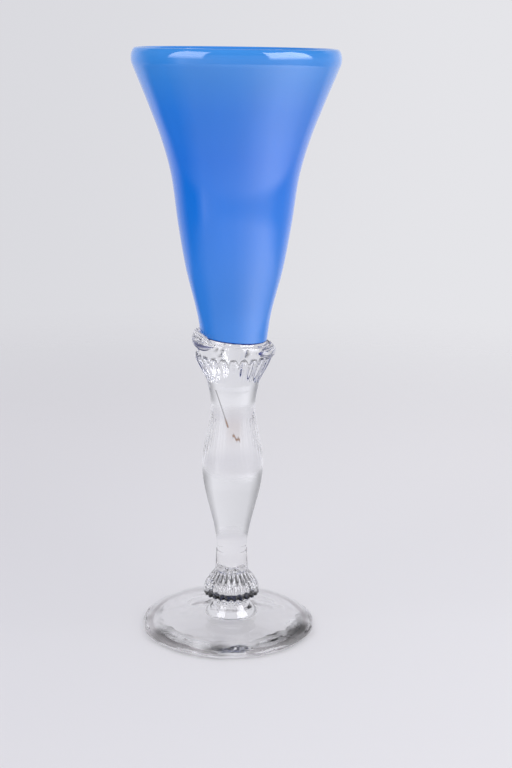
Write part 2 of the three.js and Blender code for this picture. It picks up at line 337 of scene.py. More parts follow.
def joint(*discs):
    """A test for the level faces in these (height, radius) discs, where one gather is fused to the next."""
    def chosen(centre, normal):
        return abs(normal.z) > 0.99 and any(
            abs(centre.z - height) < NEAR and from_axis(centre) < radius for height, radius in discs)
    return chosen


def tint(obj, name, amounts):
    """Stores how much of one of the tints each vertex has, for the glass to read."""
    held = obj.data.attributes.new(name, "FLOAT", "POINT")
    for vertex, amount in zip(held.data, amounts):
        vertex.value = amount


def at_each(obj, amount):
    return [amount(vertex.co) for vertex in obj.data.vertices]


SOFTLY = {"interpolation_type": "SMOOTHSTEP"}
COLOURS = {"data_type": "RGBA"}
# Places of the sockets that mix two numbers or two colours, and of the mixed colour
FACTOR, FROM, TO, FROM_COLOUR, TO_COLOUR = 0, 2, 3, 6, 7
MIXED_COLOUR = 2


def node(tree, kind, inputs=(), stops=(), **settings):
    """Adds a shader node with its settings, its inputs by name or place, or in order, and a ramp's stops.

    An input is a value, an output, or a node whose first output feeds it. A stop is a place and a colour,
    or a single number for a grey.
    """
    made = tree.nodes.new(kind)
    for key, value in settings.items():
        setattr(made, key, value)
    for key, value in inputs.items() if isinstance(inputs, dict) else enumerate(inputs):
        if isinstance(value, bpy.types.Node):
            value = value.outputs[0]
        if isinstance(value, bpy.types.NodeSocket):
            tree.links.new(value, made.inputs[key])
        else:
            made.inputs[key].default_value = value
    if stops:
        elements = made.color_ramp.elements
        elements.remove(elements[1])
        elements[0].position = stops[0][0]
        for place, _ in stops[1:]:
            elements.new(place)
        for element, (_, value) in zip(elements, stops):
            element.color = value if isinstance(value, tuple) else (value, value, value, 1)
    return made


def new_material(name):
    material = bpy.data.materials.new(name)
    material.use_nodes = True
    material.node_tree.nodes.clear()
    return material, material.node_tree


# What darkens the clear glass in places: painted grey shade in folds, creases and the foot's edge, and dark
# dirt in the flaw; brown in the flaw; painted dark blue shade round the collar's trail
TINTS = {"grime": "#3C3A39", "rust": "#BF8E66", "stain": "#2C3A8C"}


@cache
def clear_glass():
    """Soda glass, blown and fire polished.

    To the eye it is clear and sharply bright. Its skin set as it flowed, and faintly ripples what it shows.
    """
    wave_length, wave_height = 9 * MM, 0.25 * MM
    material, tree = new_material("soda_glass_fire_polished")
    place = node(tree, "ShaderNodeTexCoord").outputs["Object"]
    waves = node(tree, "ShaderNodeTexNoise", {"Vector": place, "Scale": 1 / wave_length, "Detail": 1.0})
    bump = node(tree, "ShaderNodeBump", {"Height": waves, "Strength": 0.3, "Distance": wave_height})
    body = linear("#FFFFFF")
    for name, code in TINTS.items():
        held = node(tree, "ShaderNodeAttribute", attribute_name=name).outputs["Fac"]
        body = node(tree, "ShaderNodeMix", {FACTOR: held, FROM_COLOUR: body, TO_COLOUR: linear(code)},
                    **COLOURS).outputs[MIXED_COLOUR]
    glass = node(tree, "ShaderNodeBsdfGlass", {"Color": body, "Roughness": 0.0, "IOR": 1.5, "Normal": bump})
    passing = node(tree, "ShaderNodeBsdfTransparent", {"Color": linear("#FEFEFE")})
    shadow = node(tree, "ShaderNodeLightPath").outputs["Is Shadow Ray"]
    whole = node(tree, "ShaderNodeMixShader", [shadow, glass, passing])
    node(tree, "ShaderNodeOutputMaterial", {"Surface": whole})
    return material


@cache
def fused_joint():
    """Where two gathers were stuck on hot the glass is one, so nothing of the joint shows."""
    material, tree = new_material("fused_joint")
    node(tree, "ShaderNodeOutputMaterial", {"Surface": node(tree, "ShaderNodeBsdfTransparent")})
    return material


@cache
def blue_base_painted_shade():
    """The same opaline at the bowl's base, painted as a dull dark disc behind the clear glass: painted shade,
    as the base lies in shade.
    """
    material, tree = new_material("blue_opaline_base_painted_shade")
    dull = node(tree, "ShaderNodeBsdfDiffuse", {"Color": linear("#33479A")})
    node(tree, "ShaderNodeOutputMaterial", {"Surface": dull})
    return material


# The opaline's colour from the base of the bowl to its lip, with painted light: paler towards the lip, where
# the wall is thin and light from above and through it falls
BLUES_WITH_PAINTED_LIGHT = [(0.0, "#2A85E6"), (0.2, "#2882E6"), (0.4, "#1D7CE6"), (0.64, "#1277E6"), (0.8, "#1B7DE6"),
         (0.9, "#2E87E4"), (1.0, "#4595E8")]


@cache
def blue_opaline():
    """Blue opaline, blown and fire polished.

    To the eye it is milky, drawn out into faint streaks, with crisp lights on a glossy skin.
    """
    streak_width, ripple_width, ripple_height = 22 * MM, 16 * MM, 0.2 * MM
    drawn_out = (1.0, 1.0, 0.25)
    palest, deepest = 1.04, 0.95
    material, tree = new_material("blue_opaline_glass")
    place = node(tree, "ShaderNodeTexCoord").outputs["Object"]
    drawn = node(tree, "ShaderNodeMapping", {"Vector": place, "Scale": drawn_out})
    streaks = node(tree, "ShaderNodeTexNoise", {"Vector": drawn, "Scale": 1 / streak_width, "Detail": 2.0})
    height = node(tree, "ShaderNodeSeparateXYZ", [place]).outputs["Z"]
    up = node(tree, "ShaderNodeMapRange", [height, JOINT, BOWL_HIGH.z])
    tone = node(tree, "ShaderNodeValToRGB", [up], [(share, linear(code)) for share, code in BLUES_WITH_PAINTED_LIGHT])
    cloud = node(tree, "ShaderNodeMapRange", [streaks, 0.3, 0.7, deepest, palest])
    body = node(tree, "ShaderNodeVectorMath", [tone, cloud], operation="MULTIPLY")
    ripple = node(tree, "ShaderNodeTexNoise", {"Vector": drawn, "Scale": 1 / ripple_width, "Detail": 1.0})
    bump = node(tree, "ShaderNodeBump", {"Height": ripple, "Strength": 0.3, "Distance": ripple_height})
    opaline = node(tree, "ShaderNodeBsdfPrincipled", {
        "Base Color": body, "Roughness": 0.06, "IOR": 1.5, "Normal": bump})
    node(tree, "ShaderNodeOutputMaterial", {"Surface": opaline})
    return material


# Outlines as shares: out from the axis and up into the hollow, then in from the edge and up to the crown
FOOT_HOLLOW = ((0, 1), (0.35, 0.87), (0.57, 0.55), (0.77, 0.17), (0.86, 0.035), (1, 0))
FOOT_TOP = ((0, 0), (0.35, 0.48), (0.68, 0.82), (1, 1))
# The painted shade in the edge: where it begins, how far that line wanders, its bends, how far off the rim it
# ends
GREY_BEGINS, GREY_WANDERS, GREY_BEND, GREY_ENDS = 32 * MM, 3 * MM, 6 * MM, 2.2 * MM
GREY_PATCH = 9 * MM


class GOBLET_OT_foot(bpy.types.Operator):
    """Add the round foot: a shallow dome with a thick rolled edge, hollow beneath"""
    bl_idname = "goblet.foot"
    bl_label = "Foot"

    def execute(self, context):
        s = context.scene.goblet_foot
        stem = context.scene.goblet_stem
        off_axis = (FOOT_LOW.x + FOOT_HIGH.x) / 2
        flat = stem.skirt_radius + abs(off_axis)
        contact = stem.skirt_radius - stem.skirt_thickness / 2
        inner, outer = (s.bearing_radius + side * s.bearing_width / 2 for side in (-1, 1))
        half = s.edge_thickness / 2
        hollow = smooth([(inner * out, s.hollow * up) for out, up in FOOT_HOLLOW], 6)
        roll = arc((outer, half), s.radius - outer, half, -90, 75, 20)
        edge_out, edge_up = roll[-1]
        top = smooth([(blend(edge_out, flat, inward), blend(edge_up, s.crown, up))
                      for inward, up in FOOT_TOP], 18)
        obj = turned("foot_glass", [*hollow, *roll, *top[1:], (contact, s.crown), (0, s.crown)], 192)
        for vertex in obj.data.vertices:
            if vertex.co.z > s.crown - NEAR and from_axis(vertex.co) < flat - NEAR:
                vertex.co.x -= off_axis

        def skin(co):
            """How far the skin waves: most near the edge, not at all under the merese or where it stands."""
            out = from_axis(co)
            rim = blend(0.25, 1, ease((out - 26 * MM) / (6 * MM)))
            return rim * ease((out - flat) / (6 * MM)) * ease(co.z / MM)

        def thick(co):
            """Painted shade in the thick edge: grey patches on the front half, with a line where they begin.
            """
            out = from_axis(co)
            begins = GREY_BEGINS + GREY_WANDERS * noise.noise(Vector((co.x, co.y, 0)) / GREY_BEND)
            patch = max(0, 0.75 + 2 * noise.noise(Vector((co.x, co.y, 30 * MM)) / GREY_PATCH))
            edge = ease((out - begins) / (0.5 * MM)) * (1 - ease((out - s.radius + GREY_ENDS) / MM))
            line = bell(out - begins - 0.4 * MM, 0.3 * MM)
            return patch * (0.3 * edge + 0.36 * line) * in_front(co, 1.4, 0.6)

        wave(obj, s.waviness, s.wave_length, skin)
        # Painted shade: grey patches darken the front of the foot's edge.
        tint(obj, "grime", at_each(obj, thick))
        edit(obj)
        bpy.ops.transform.translate(value=(off_axis, 0, 0))
        bpy.ops.object.mode_set(mode="OBJECT")
        set_faces(obj, 1, joint((s.crown, contact)))
        finish_piece(obj, "foot", "clear_glass", clear_glass(), fused_joint())
        return {"FINISHED"}


# The merese's side as shares: out from the neck to the skirt, and up
MERESE_SIDE = ((0.84, 0.13), (0.556, 0.444), (0.178, 0.815), (0, 1))


class GOBLET_OT_merese(bpy.types.Operator):
    """Add the merese, a short neck that spreads into a thin rounded skirt on the foot"""
    bl_idname = "goblet.merese"
    bl_label = "Merese"

    def execute(self, context):
        s = context.scene.goblet_stem
        half = s.skirt_thickness / 2
        height = MERESE_HIGH.z - MERESE_LOW.z
        skirt = arc((s.skirt_radius - half, half), half, half, -90, 75, 12)
        flare = smooth([skirt[-1], *[(blend(s.merese_neck, s.skirt_radius, out), height * up)
                                     for out, up in MERESE_SIDE]], 6)
        outline = raised([(0, 0), *skirt, *flare[1:], (0, height)], MERESE_LOW.z)
        obj = turned("merese_glass", outline, 144)
        set_faces(obj, 1, joint((MERESE_LOW.z, s.skirt_radius), (MERESE_HIGH.z, s.merese_neck)))
        finish_piece(obj, "merese", "clear_glass", clear_glass(), fused_joint())
        return {"FINISHED"}


# The knop's side as shares: up, and out from its neck to the crests of its ribs
KNOP_SIDE = ((0.215, 0.14), (0.187, 0.5), (0.161, 0.86), (0.168, 0.965), (0.21, 1), (0.3, 0.94),
             (0.37, 0.83), (0.44, 0.65), (0.51, 0.42), (0.56, 0.25), (0.6, 0.13), (0.68, 0.07), (1, 0))
KNOP_WAIST_LOW, KNOP_WAIST_HIGH = 0.09, 0.185


class GOBLET_OT_knop(bpy.types.Operator):
    """Add the knop, a flattened ball pressed into round ribs, drawn up into its own neck"""
    bl_idname = "goblet.knop"
    bl_label = "Knop"

    def execute(self, context):
        s = context.scene.goblet_stem
        ribs = context.scene.goblet_ribs
        height = KNOP_HIGH.z - KNOP_LOW.z
        waist = [(s.knop_waist, share * height) for share in (KNOP_WAIST_LOW, KNOP_WAIST_HIGH)]
        ball = [(blend(s.knop_neck, s.knop_radius, wide), height * up) for up, wide in KNOP_SIDE]
        side = smooth([(s.merese_neck, 0), *waist, *ball], 7)
        outline = raised([(0, 0), *side, (s.foot_radius, height), (0, height)], KNOP_LOW.z)
        obj = turned("knop_glass", outline, ribs.knop_count * 12)

        def shares(co):
            return ((co.z - KNOP_LOW.z) / height,
                    (from_axis(co) - s.knop_neck) / (s.knop_radius - s.knop_neck))

        def depth(co):
            """The creases run in under the rim and fade out on the shoulder."""
            up, out = shares(co)
            low = ease(out / 0.5) if up < 0.3 else 1
            return low * (1 - ease((up - 0.54) / 0.08)) * crease(co, ribs.knop_count)

        def shade(co):
            """Painted shade: the dark underside of the rim, and the dark strokes in the creases above it, on
            the front.
            """
            up, out = shares(co)
            under_rim = out < 0.93 or up < 0.165
            beneath = ease((0.235 - up) / 0.02) * ease((up - 0.14) / 0.01) * ease((out - 0.05) / 0.15)
            strokes = crease(co, ribs.knop_count) * ease((up - 0.42) / 0.06) * (1 - ease((up - 0.56) / 0.06))
            return in_front(co, 1.2, 0.5) * max(0.8 * beneath * under_rim, strokes)

        press(obj, "creases", ribs.knop_depth, depth)
        # Painted shade: the rim's underside and the creases are darkened on the front.
        tint(obj, "grime", at_each(obj, shade))
        set_faces(obj, 1, joint((KNOP_LOW.z, s.merese_neck), (KNOP_HIGH.z, s.knop_neck)))
        finish_piece(obj, "knop", "clear_glass", clear_glass(), fused_joint())
        return {"FINISHED"}


# The flaw on the stem's front: a crack that slants down to the right, a ragged end below it and a haze
CRACK_LENGTH = 17 * MM
CRACK_TOP, CRACK_FOOT = -8.0 * MM, -2.2 * MM
RAGGED_LEFT, RAGGED_RIGHT = -0.2 * MM, 3.4 * MM
RAGGED_HIGH, RAGGED_LOW = 97.5 * MM, 95.3 * MM
HAZE = Vector((0.5 * MM, 0, 101 * MM))


class GOBLET_OT_baluster(bpy.types.Operator):
    """Add the solid baluster, swelling from its foot to the belly"""
    bl_idname = "goblet.baluster"
    bl_label = "Baluster"

    def execute(self, context):
        s = context.scene.goblet_stem
        height = STEM_HIGH.z - STEM_LOW.z
        rings = 96

        def outside(up):
            if up < s.belly_height:
                return blend(s.foot_radius, s.belly_radius, ease(up / s.belly_height))
            if up < s.neck_height:
                shoulder = (up - s.belly_height) / (s.neck_height - s.belly_height)
                return blend(s.belly_radius, s.neck_radius, ease(shoulder))
            return blend(s.neck_radius, s.top_radius, ((up - s.neck_height) / (height - s.neck_height)) ** 2)

        side = [(outside(height * i / rings), height * i / rings) for i in range(rings + 1)]
        obj = turned("baluster_glass", raised([(0, 0), *side, (0, height)], STEM_LOW.z), s.flutes * 8)

        def fluted(co):
            """The flutes lie on the shoulder, between the belly and the neck."""
            up = co.z - STEM_LOW.z
            starts = ease((up - s.belly_height - 2 * MM) / (4 * MM))
            ends = ease((s.neck_height - 3 * MM - up) / (8 * MM))
            return starts * ends * crease(co, s.flutes)

        def flaw(co):
            """How dark and how rusty the flaw is at a point."""
            if co.y >= 0:
                return 0, 0
            down = (STEM_HIGH.z - co.z) / CRACK_LENGTH
            tail = ease((down - 0.72) / 0.15)
            width = blend(0.22, 0.34, tail) * MM
            crack = bell(co.x - blend(CRACK_TOP, CRACK_FOOT, down), width) * (down < 1)
            slope = blend(RAGGED_HIGH, RAGGED_LOW, co.x / (3.2 * MM))
            teeth = 0.6 * MM * math.sin(co.x / (0.35 * MM))
            end = bell(co.z - slope - teeth, 0.55 * MM) * (RAGGED_LEFT < co.x < RAGGED_RIGHT)
            haze = math.exp(-((co.x - HAZE.x) / (3.5 * MM)) ** 4) * bell(co.z - HAZE.z, 6 * MM)
            return max(0.7 * crack, 0.72 * end), max(0.8 * crack * tail, 0.8 * end, 0.15 * haze)

        marks = at_each(obj, flaw)
        tint(obj, "grime", [dark for dark, _ in marks])
        tint(obj, "rust", [brown for _, brown in marks])
        press(obj, "flutes", s.flute_depth, fluted)
        set_faces(obj, 1, joint((STEM_LOW.z, s.foot_radius), (STEM_HIGH.z, s.top_radius)))
        finish_piece(obj, "baluster", "clear_glass", clear_glass(), fused_joint())
        return {"FINISHED"}


# The calyx's side as shares: up, and out from the stem to its widest
CALYX_SIDE = ((0.15, 0.12), (0.37, 0.55), (0.6, 0.97), (0.75, 1.0), (0.9, 0.93), (0.97, 0.8))
ARCH_TOPS = 0.67 * CALYX_HEIGHT
FOLD_ABOVE_ARCH = 0.45 * MM


def calyx_side(context):
    s = context.scene.goblet_stem
    bowl = context.scene.goblet_bowl
    wide = (CALYX_HIGH.y - CALYX_LOW.y) / 2
    cup = [(blend(s.top_radius, wide, out), CALYX_HEIGHT * up) for up, out in CALYX_SIDE]
    return smooth([(s.top_radius, 0), *cup, (bowl.base_radius - bowl.base_rounding / 2, CALYX_HEIGHT)], 12)


def trail(context, where):
    """The collar's trail in a direction.

    It gives how far along the trail that lies, the height of its middle, half its height there, and how full
    it is. It thins to a point at both ends.
    """
    taper, point = 0.1, 0.12
    s = context.scene.goblet_collar
    ring = context.scene.goblet_bowl.base_radius + s.stand_out - s.width / 2
    along = ((where - s.start_angle) % (2 * math.pi) - 2 * math.pi) / s.sweep_angle
    full = blend(point, 1, math.sqrt(ease(min(along, 1 - along) / taper)))
    middle = JOINT - s.drop - ring * math.cos(where) * math.tan(s.tilt_angle)
    return along, middle, full * blend(s.start_height, s.end_height, min(along, 1)) / 2, full


class GOBLET_OT_calyx(bpy.types.Operator):
    """Add the calyx, a ribbed cup of clear glass that carries the bowl"""
    bl_idname = "goblet.calyx"
    bl_label = "Calyx"

    def execute(self, context):
        ribs = context.scene.goblet_ribs
        bowl = context.scene.goblet_bowl
        outline = [(0, 0), *calyx_side(context), (0, CALYX_HEIGHT)]
        obj = turned("calyx_glass", raised(outline, STEM_HIGH.z), ribs.calyx_count * 14)
        deepest = ribs.calyx_depth + ribs.arch_line

        def above_arch(co):
            """How far above the round end of its rib a point lies."""
            return co.z - STEM_HIGH.z - ARCH_TOPS + ribs.arch_height * crease(co, ribs.calyx_count) ** 2

        def depth(co):
            """The glass is hollowed between the ribs, and stands back above their ends, with a fold there."""
            if co.z - STEM_HIGH.z > CALYX_HEIGHT - 0.05 * MM:
                return 0
            up = (co.z - STEM_HIGH.z) / CALYX_HEIGHT
            hollowed = 0.5 + 0.5 * math.cos(math.atan2(co.y, co.x) * ribs.calyx_count)
            between_ribs = 0.75 * ease((up - 0.06) / 0.4) * hollowed
            skin = ribs.calyx_depth * blend(between_ribs, 1, ease(above_arch(co) / (0.9 * MM)))
            fold = ribs.arch_line * bell(above_arch(co) - FOLD_ABOVE_ARCH, 0.4 * MM)
            return (skin + fold) / deepest

        # Painted shade: a dark line along the fold round each rib's end.
        def shade(co):
            return 0.75 * bell(above_arch(co) - FOLD_ABOVE_ARCH, 0.35 * MM)

        tint(obj, "grime", at_each(obj, shade))
        press(obj, "creases", deepest, depth)
        lean(obj, JOINT, bowl.slant, bowl.slant_reach_below)

        def fused(centre, normal):
            """The faces on the stem, under the bowl and behind the collar."""
            if centre.z < STEM_HIGH.z + 0.1 * MM:
                return normal.z < -0.9
            slanted = centre.z + centre.x * math.tan(bowl.slant) > JOINT - 0.1 * MM
            along, middle, half, _ = trail(context, math.atan2(centre.y, centre.x))
            under_collar = along < 1 and abs(centre.z - middle) < half * 0.9
            upper_half = centre.z > STEM_HIGH.z + CALYX_HEIGHT / 2
            return (slanted and normal.z > 0.9) or (under_collar and upper_half)

        set_faces(obj, 1, fused)
        finish_piece(obj, "calyx", "clear_glass", clear_glass(), fused_joint())
        return {"FINISHED"}


# The bowl's side as shares: up to where the lip begins, and out from the base to the mouth
BOWL_SIDE = ((0, 0), (0.1, 0.06), (0.27, 0.22), (0.445, 0.335), (0.624, 0.43), (0.768, 0.58), (0.9, 0.77),
             (1, 0.925))
# The lip begins this many of its own heights below the mouth
LIP_BEGINS = 1.3


class GOBLET_OT_bowl(bpy.types.Operator):
    """Add the trumpet bowl with its thick rounded lip"""
    bl_idname = "goblet.bowl"
    bl_label = "Bowl"

    def execute(self, context):
        s = context.scene.goblet_bowl
        height = BOWL_HIGH.z - JOINT
        flare = height - s.lip_height * LIP_BEGINS
        side = smooth([(blend(s.base_radius, s.mouth_radius, out), blend(s.base_rounding, flare, up))
                       for up, out in BOWL_SIDE], 8)
        lip_middle = (s.mouth_radius - s.lip_thickness / 2, height - s.lip_height / 2)
        lip = arc(lip_middle, s.lip_thickness / 2, s.lip_height / 2, -45, 198, 27)
        inside = [(radius - s.wall, up) for radius, up in reversed(side) if up > s.floor + s.well]
        lowest = inside[-1]
        well = arc((0, lowest[1]), lowest[0], lowest[1] - s.floor, -10, -80, 8)
        rounding = s.base_rounding
        base = arc((s.base_radius - rounding, rounding), rounding, rounding, -90, -10, 5)
        outline = [(0, 0), *base, *side, *lip, *inside, *well, (0, s.floor)]
        obj = turned("bowl_glass", raised(outline, JOINT), 192)
        # The base's faces take the dark blue of painted shade.
        set_faces(obj, 1, lambda centre, normal: centre.z < JOINT + rounding / 2)
        lean(obj, JOINT, s.slant, s.slant_reach)
        finish_piece(obj, "bowl", "blue_glass", blue_opaline(), blue_base_painted_shade())
        return {"FINISHED"}


class GOBLET_OT_collar(bpy.types.Operator):
    """Add the collar, a trail of clear glass laid once round the joint of calyx and bowl"""
    bl_idname = "goblet.collar"
    bl_label = "Collar"

    def execute(self, context):
        s = context.scene.goblet_collar
        bowl = context.scene.goblet_bowl
        ring = bowl.base_radius + s.stand_out - s.width / 2
        steps = 96
        sides = 24
        just_in = 1e-4
        bpy.ops.object.select_all(action="DESELECT")
        bpy.ops.mesh.primitive_circle_add(vertices=sides, radius=MM, fill_type="NGON", location=CENTRE,
                                          rotation=(math.pi / 2, 0, 0))
        obj = context.object
        obj.name = obj.data.name = "collar_glass"
        bpy.ops.object.transform_apply(location=True, rotation=True, scale=True)
        edit(obj)
        for _ in range(steps):
            bpy.ops.mesh.extrude_region_move(TRANSFORM_OT_translate={"value": (0, MM, 0)})
        bpy.ops.object.mode_set(mode="OBJECT")
        blue_shade = []
        for vertex in obj.data.vertices:
            along = vertex.co.y / MM / steps
            turn = math.atan2(vertex.co.z, vertex.co.x)
            where = s.start_angle + s.sweep_angle * min(max(along, just_in), 1 - just_in)
            _, middle, half, full = trail(context, where)
            radius = ring + full * s.width / 2 * math.cos(turn)
            vertex.co = (radius * math.cos(where), radius * math.sin(where), middle + half * math.sin(turn))
            # Painted dark blue shade beneath the trail, over its outside where it begins, and into its end,
            # where the glass shows the bowl's shaded base.
            beneath = bell(turn + 1.35, 0.4)
            outside = bell(turn + 0.35, 0.2) * (1 - ease((along - 0.1) / 0.08))
            blue_shade.append(max(beneath, outside, ease((along - 0.955) / 0.03)))
        tint(obj, "stain", blue_shade)
        edit(obj)
        bpy.ops.mesh.normals_make_consistent(inside=False)
        bpy.ops.object.mode_set(mode="OBJECT")
        bpy.ops.object.shade_smooth()
        cup = raised(calyx_side(context), STEM_HIGH.z)

        def buried(centre, normal):
            """The faces inside the calyx or the bowl's base, where the trail is fused to them."""
            leaning = centre.z > JOINT - 3 * MM
            level = centre.z + centre.x * math.tan(bowl.slant) * leaning
            skin = radius_at(cup, level) or bowl.base_radius
            return from_axis(centre) < skin

        set_faces(obj, 1, buried)
        finish_piece(obj, "collar", "clear_glass", clear_glass(), fused_joint())
        return {"FINISHED"}


def seen_by_glass(tree):
    """1 for a ray that comes straight from the camera by way of a reflection or through glass."""
    rays = node(tree, "ShaderNodeLightPath").outputs
    bent = node(tree, "ShaderNodeMath", [rays["Is Glossy Ray"], rays["Is Transmission Ray"]],
                operation="MAXIMUM")
    direct = node(tree, "ShaderNodeMath", [rays["Diffuse Depth"], 0.5], operation="LESS_THAN")
    return node(tree, "ShaderNodeMath", [bent, direct], operation="MULTIPLY").outputs[0]


# Distances from the goblet, or across from left to right, between which the floor changes
FLOOR_ACROSS = (-0.2, 0.2)
FLOOR_BENEATH = (0.045, 0.06)
FLOOR_BEHIND = (0.16, 0.24)
FLOOR_END_SEEN = (0.35, 0.8)
FLOOR_END_MIRRORED = (0.12, 0.2)
FLOOR_END_THROUGH = (0.2, 0.5)


def pale_floor(studio):
    """Matt white board: it takes the goblet's shadow and runs out into the backdrop; painted light makes it
    paler to the right, and beneath the goblet where glass shows it.
    """
    material, tree = new_material("matt_white_board")
    place = node(tree, "ShaderNodeTexCoord").outputs["Object"]
    sideways = node(tree, "ShaderNodeSeparateXYZ", [place]).outputs["X"]
    away = node(tree, "ShaderNodeVectorMath", [place], operation="LENGTH").outputs["Value"]
    passed = node(tree, "ShaderNodeLightPath").outputs["Is Transmission Ray"]

    # Painted light: the board is paler towards the right.
    across = node(tree, "ShaderNodeMapRange", [sideways, *FLOOR_ACROSS], **SOFTLY)
    distant = node(tree, "ShaderNodeMapRange", [away, *FLOOR_BEHIND], **SOFTLY)
    beneath = node(tree, "ShaderNodeMapRange", [away, *FLOOR_BENEATH, 1.0, 0.0], **SOFTLY)
    # Painted light: seen through glass, the board beneath the goblet is paler.
    distant_in_glass, beneath_in_glass = (
        node(tree, "ShaderNodeMath", [passed, amount], operation="MULTIPLY") for amount in (distant, beneath))
    shown = tuple(studio.backdrop)
    for amount, other in ((across, studio.backdrop_right_painted_light), (distant_in_glass, studio.seen_behind),
                          (beneath_in_glass, studio.seen_through_painted_light)):
        shown = node(tree, "ShaderNodeMix", {FACTOR: amount, FROM_COLOUR: shown, TO_COLOUR: tuple(other)},
                     **COLOURS).outputs[MIXED_COLOUR]
    board = node(tree, "ShaderNodeBsdfDiffuse", {"Color": shown})

    end_seen, end_mirrored, end_through = (
        node(tree, "ShaderNodeMapRange", [away, *reach], **SOFTLY)
        for reach in (FLOOR_END_SEEN, FLOOR_END_MIRRORED, FLOOR_END_THROUGH))
    end_in_glass = node(tree, "ShaderNodeMix", {FACTOR: passed, FROM: end_mirrored, TO: end_through})
    end = node(tree, "ShaderNodeMix", {FACTOR: seen_by_glass(tree), FROM: end_seen, TO: end_in_glass})
    nothing = node(tree, "ShaderNodeBsdfTransparent")
    whole = node(tree, "ShaderNodeMixShader", [end, board, nothing])
    node(tree, "ShaderNodeOutputMaterial", {"Surface": whole})
    return material


# The room that the glass sees, as (degrees to the right of the front, radiance) stops.
# A skin mirrors the table at its feet and what lies beyond it, and above them the two softboxes.
PEAK = 10.0
TABLE = [
    (-180, 0.55), (-150, 0.2), (-128, 0.12), (-96, 0.3), (-82, 0.65), (-64, 1.2), (-44, 1.4), (0, 1.8),
    (22, 2.4), (44, 3.3), (62, 3.9), (80, 3.5), (96, 2.5), (112, 1.4), (128, 0.75), (158, 0.65), (180, 0.55)]
BEYOND = [
    (-180, 0.78), (-160, 0.9), (-140, 0.95), (-125, 0.7), (-112, 0.2), (-104, 0.05), (-82, 0.05),
    (-72, 0.5), (-62, 1.75), (-50, 1.4), (-20, 0.9), (0, 0.8), (20, 0.9), (38, 1.2), (57, 1.6), (70, 1.6),
    (80, 1.2), (90, 0.9), (105, 0.7), (122, 0.8), (136, 1.1), (155, 1.1), (180, 0.78)]
SOFTBOXES = [
    (-180, 0.78), (-138, 0.74), (-122, 0.15), (-80, 0.1), (-77, 6.5), (-38, 6.5), (-35, 0.7), (0, 0.6),
    (34, 0.7), (38, 8.6), (88, 8.6), (92, 0.3), (118, 0.3), (134, 0.78), (180, 0.78)]
# Through the glass the same room is paler, and dark only at the sides.
LOWER_THROUGH = [
    (-180, 0.76), (-150, 0.72), (-90, 0.72), (0, 0.8), (90, 0.83), (150, 0.82), (180, 0.76)]
LEVEL_THROUGH = [
    (-180, 0.76), (-153, 0.72), (-130, 0.4), (-110, 0.25), (-60, 0.25), (-45, 0.8), (45, 0.8), (60, 0.35),
    (110, 0.35), (132, 0.55), (150, 0.82), (180, 0.76)]
SOFTBOXES_THROUGH = [
    (-180, 0.78), (-138, 0.74), (-122, 0.15), (-80, 0.15), (-77, 1.05), (-38, 1.05), (-35, 0.6), (34, 0.6),
    (38, 1.15), (88, 1.15), (92, 0.3), (118, 0.3), (134, 0.78), (180, 0.78)]
# How high the softboxes and the backdrop reach, as the sine of their elevation. Above them it is dark.
TOPS = [
    (-180, 0.58), (-142, 0.58), (-138, 0.45), (-81, 0.45), (-79, 0.76), (-36, 0.76), (-34, 0.45), (35, 0.45),
    (37, 0.76), (90, 0.76), (92, 0.45), (138, 0.45), (142, 0.58), (180, 0.58)]
CEILING = 0.04
# Sines of the elevations between which one height of the room gives way to the next
NEAR_TABLE = (-0.85, -0.45)
NEAR_TABLE_SHADE = 0.78
TABLE_TO_BEYOND = (-0.41, -0.3)
LOWER_TO_LEVEL = (-0.28, -0.12)
SIDES_TO_SOFTBOXES = (0.02, 0.35)
TO_CEILING = (0.0, 0.08)
ROOM_COLOUR = "#F8F8FF"
FILL_COLOUR = "#F8F9FF"
# What the camera sees over the floor's end, painted paler to the right as painted light, and how far to the
# left and right, as sines, it changes
BACKDROP = [(0.0, "#DADADF"), (1.0, "#E5E5E9")]
BACKDROP_ACROSS = (-0.2, 0.2)


def all_round(stops):
    """A direction's stops as a ramp's: a full turn is 1, and the radiance is a share of the peak."""
    return [((degrees + 180) / 360, value / PEAK) for degrees, value in stops]


